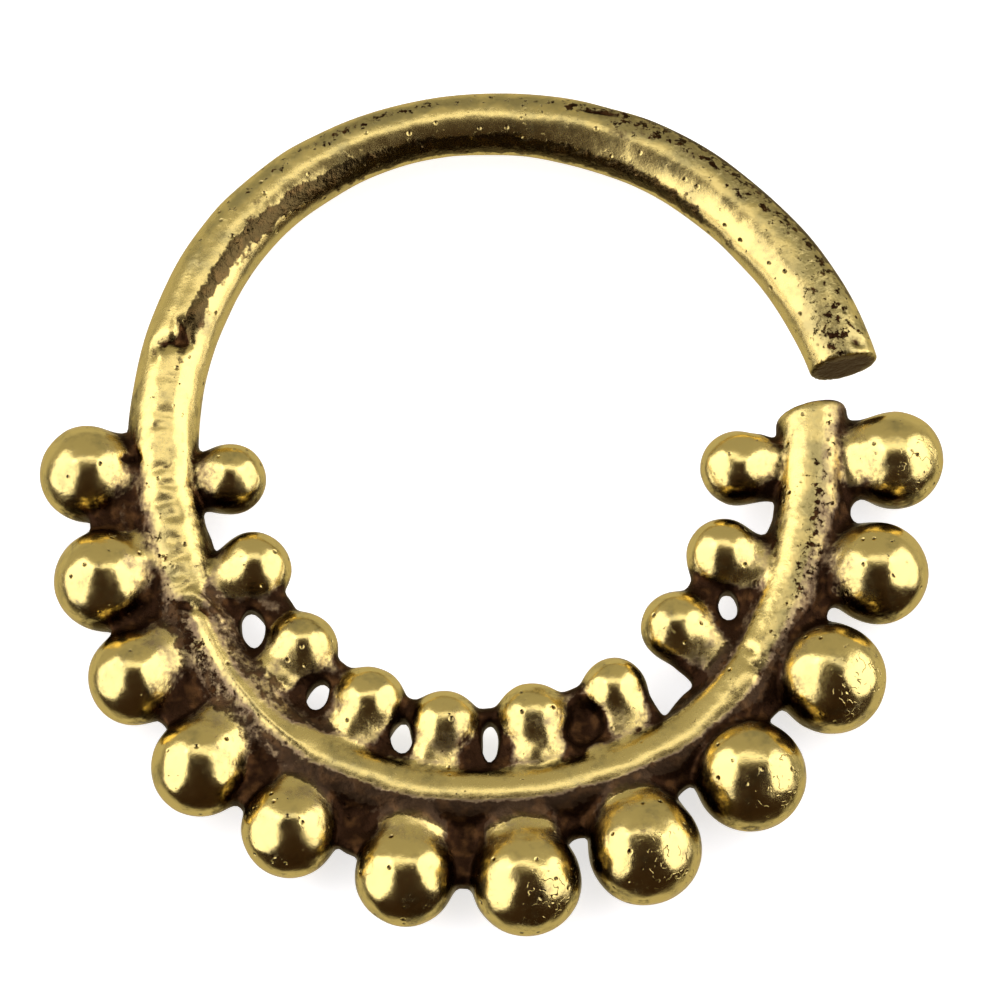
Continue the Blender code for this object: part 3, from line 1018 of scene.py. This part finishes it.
def worn_brass():
    """Yellow brass: polished where a cloth reaches it, matt and pinkish brown where it is sheltered,
    painted near black as shade and tarnish in the crevices and low down, near black in the pits, with
    painted dark reflections and tarnish on the wire's flanks, and fine cast grain all over."""
    material = bpy.data.materials.new("worn_brass")
    material.use_nodes = True
    tree = material.node_tree
    shader = tree.nodes["Principled BSDF"]
    place = node(tree, "ShaderNodeTexCoord").outputs["Object"]
    patches = noise(tree, place, PATCHES)
    hammered = noise(tree, place, HAMMER_MARKS)
    grain = noise(tree, place, CAST_GRAIN)
    granule, pitted = named(tree, "granule"), named(tree, "pitted")
    matt = matt_share(tree, patches, grain)
    sunk = pit_share(tree, place, pitted)
    marks = scratch_share(tree, place, hammered)
    flawed = eased(tree, named(tree, "flaw"), 0.55, 0.95)
    # Painted shade, painted dark reflections and tarnish, with the dark flaws, pits and scratches
    soot = painted_dark_and_tarnish_share(tree, patches, hammered, grain)
    dark = greatest(tree, soot, flawed, sunk, product(tree, marks, 0.6))
    rough = 0.20
    for value, amount in ((matt, 0.22), (granule, -0.07), (pitted, 0.12), (grain, 0.12)):
        rough = with_more(tree, rough, value, amount)
    rough_parts = greatest(tree, matt, pitted, dark)
    height = brass_relief(tree, place, rough_parts, granule, hammered, grain)
    for value, amount in ((sunk, -0.6), (marks, -0.28)):
        height = with_more(tree, height, value, amount)
    bump = node(tree, "ShaderNodeBump")
    bump.inputs["Strength"].default_value = 1.0
    bump.inputs["Distance"].default_value = RELIEF * MILLIMETRE
    tree.links.new(height, bump.inputs["Height"])
    shader.inputs["Specular IOR Level"].default_value = 0.25
    shader.inputs["Specular Tint"].default_value = GRAZING_TINT
    colour = brass_colour(tree, matt, dark, pitted, patches, hammered, grain)
    tree.links.new(colour, shader.inputs["Base Color"])
    tree.links.new(with_more(tree, 1.0, matt, -0.15), shader.inputs["Metallic"])
    tree.links.new(rough, shader.inputs["Roughness"])
    tree.links.new(bump.outputs[0], shader.inputs["Normal"])
    return material


def pale_table():
    """A plain pale table top under the ring, a square that reaches half_size metres each way."""
    half_size = 0.4
    corners = [(-1, -1), (1, -1), (1, 1), (-1, 1)]
    mesh = bpy.data.meshes.new("pale_table")
    mesh.from_pydata([(x * half_size, y * half_size, 0) for x, y in corners], [], [(0, 1, 2, 3)])
    table = in_scene("pale_table", mesh)
    material = bpy.data.materials.new("pale_table")
    material.use_nodes = True
    shader = material.node_tree.nodes["Principled BSDF"]
    shader.inputs["Base Color"].default_value = (0.9, 0.9, 0.9, 1)
    shader.inputs["Roughness"].default_value = 0.9
    shader.inputs["Emission Color"].default_value = (1, 1, 1, 1)
    shader.inputs["Emission Strength"].default_value = 0.70
    mesh.materials.append(material)
    table.visible_glossy = False


# The soft panels round the ring, as angles seen from it: turn to the camera's right, lift towards the
# top of the picture, half width and half height, in degrees. softness: how much of the panel fades
# towards its edge. light: how bright its middle is. lean: how far its top leans to the left.
Panel = namedtuple("Panel", "turn lift half_width half_height softness light lean")
PANELS = [Panel(*row) for row in (
    (-63, 1, 34, 46, 0.16, 1.9, -20),
    (67, 9, 35, 38, 0.16, 1.9, 25),
    (0, 39, 34, 8, 0.30, 1.25, 0),
)]
PANEL_COLOUR = (1.0, 1.0, 1.12)
BACKDROP = (0.43, 0.41, 0.35, 1)
LOW_ROOM = (0.60, 0.58, 0.52, 1)
DARK_ROOM = (0.032, 0.017, 0.010, 1)

# Which way the low part of the room is: down from the camera
DOWNWARD = (0, 0.33, -0.94)

# The camera: how far it leans back, in degrees, how far away it is, how wide its picture is there, and
# the spot of the ring that it looks at, in millimetres
CAMERA_LEAN = 20
CAMERA_DISTANCE = 150.0
PICTURE_WIDTH = 17.143
LOOKED_AT = (0.2057, -0.766, WIRE_HEIGHT)


def from_camera(x, y, z):
    """A direction given to the camera's right, up and towards it, turned into the ring's frame."""
    lean = math.radians(CAMERA_LEAN)
    return Vector(
        (x, y * math.cos(lean) - z * math.sin(lean), y * math.sin(lean) + z * math.cos(lean))
    )


def panel_light(tree, way, panel):
    """How much light a panel sends from a direction: all of it inside a soft-edged rounded form, where
    the widths and heights as shares of its half sizes, raised to a power, add up to less than one."""
    squareness, least_facing = 2.6, 0.02
    turn, lift = math.radians(panel.turn), math.radians(panel.lift)
    middle = from_camera(
        math.sin(turn) * math.cos(lift), math.sin(lift), math.cos(turn) * math.cos(lift)
    )
    level = from_camera(math.cos(turn), 0, -math.sin(turn))
    upright = middle.cross(level)
    lean = math.radians(panel.lean)
    right = level * math.cos(lean) + upright * math.sin(lean)
    up = upright * math.cos(lean) - level * math.sin(lean)
    ahead = math_value(tree, "MAXIMUM", along_axis(tree, way, middle), least_facing)
    shares = []
    for axis, half in ((right, panel.half_width), (up, panel.half_height)):
        share = math_value(tree, "DIVIDE", along_axis(tree, way, axis), ahead)
        share = math_value(tree, "DIVIDE", share, math.tan(math.radians(half)))
        shares.append(math_value(tree, "POWER", math_value(tree, "ABSOLUTE", share), squareness))
    reach = math_value(tree, "ADD", *shares)
    outside = eased(tree, reach, 1 - panel.softness, 1 + panel.softness)
    return product(tree, without(tree, 1.0, outside), panel.light)


def studio_air():
    """A dim studio: soft panels at both sides and above, dark round the camera, a grey backdrop
    behind the ring and a pale table below."""
    world = bpy.data.worlds.new("studio_air")
    world.use_nodes = True
    tree = world.node_tree
    way = node(tree, "ShaderNodeTexCoord").outputs["Generated"]
    behind = node(tree, "ShaderNodeSeparateXYZ", way).outputs[1]
    room = mixed(tree, eased(tree, behind, -0.1, 0.55), DARK_ROOM, BACKDROP)
    low_down = along_axis(tree, way, DOWNWARD)
    room = mixed(tree, eased(tree, low_down, 0.3, 0.5), room, LOW_ROOM)
    light = 0.0
    for panel in PANELS:
        light = math_value(tree, "ADD", panel_light(tree, way, panel), light)
    glow = node(tree, "ShaderNodeCombineXYZ", light, light, light).outputs[0]
    glow = node(tree, "ShaderNodeVectorMath", glow, PANEL_COLOUR, operation="MULTIPLY").outputs[0]
    total = node(tree, "ShaderNodeVectorMath", room, glow, operation="ADD").outputs[0]
    background = tree.nodes["Background"]
    tree.links.new(total, background.inputs["Color"])
    background.inputs["Strength"].default_value = 1.0
    bpy.context.scene.world = world


def photo_camera(ring_shift):
    """A camera above the table, leaning back by the photograph's angle."""
    aim = Vector(np.array(LOOKED_AT) + ring_shift)
    lens = bpy.data.cameras.new("photo_camera")
    lens.sensor_width = 36
    lens.lens = lens.sensor_width * CAMERA_DISTANCE / PICTURE_WIDTH
    lens.clip_start, lens.clip_end = 0.001, 10
    camera = in_scene("photo_camera", lens)
    camera.location = (aim + from_camera(0, 0, 1) * CAMERA_DISTANCE) * MILLIMETRE
    camera.rotation_euler = (math.radians(CAMERA_LEAN), 0, 0)
    bpy.context.scene.camera = camera


ring, ring_shift = fused_brass_ring()
ring.data.materials.append(worn_brass())
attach(ring, "root")
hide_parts("nose_ring")
pale_table()
studio_air()
photo_camera(ring_shift)
bpy.context.scene.view_settings.view_transform = "Standard"
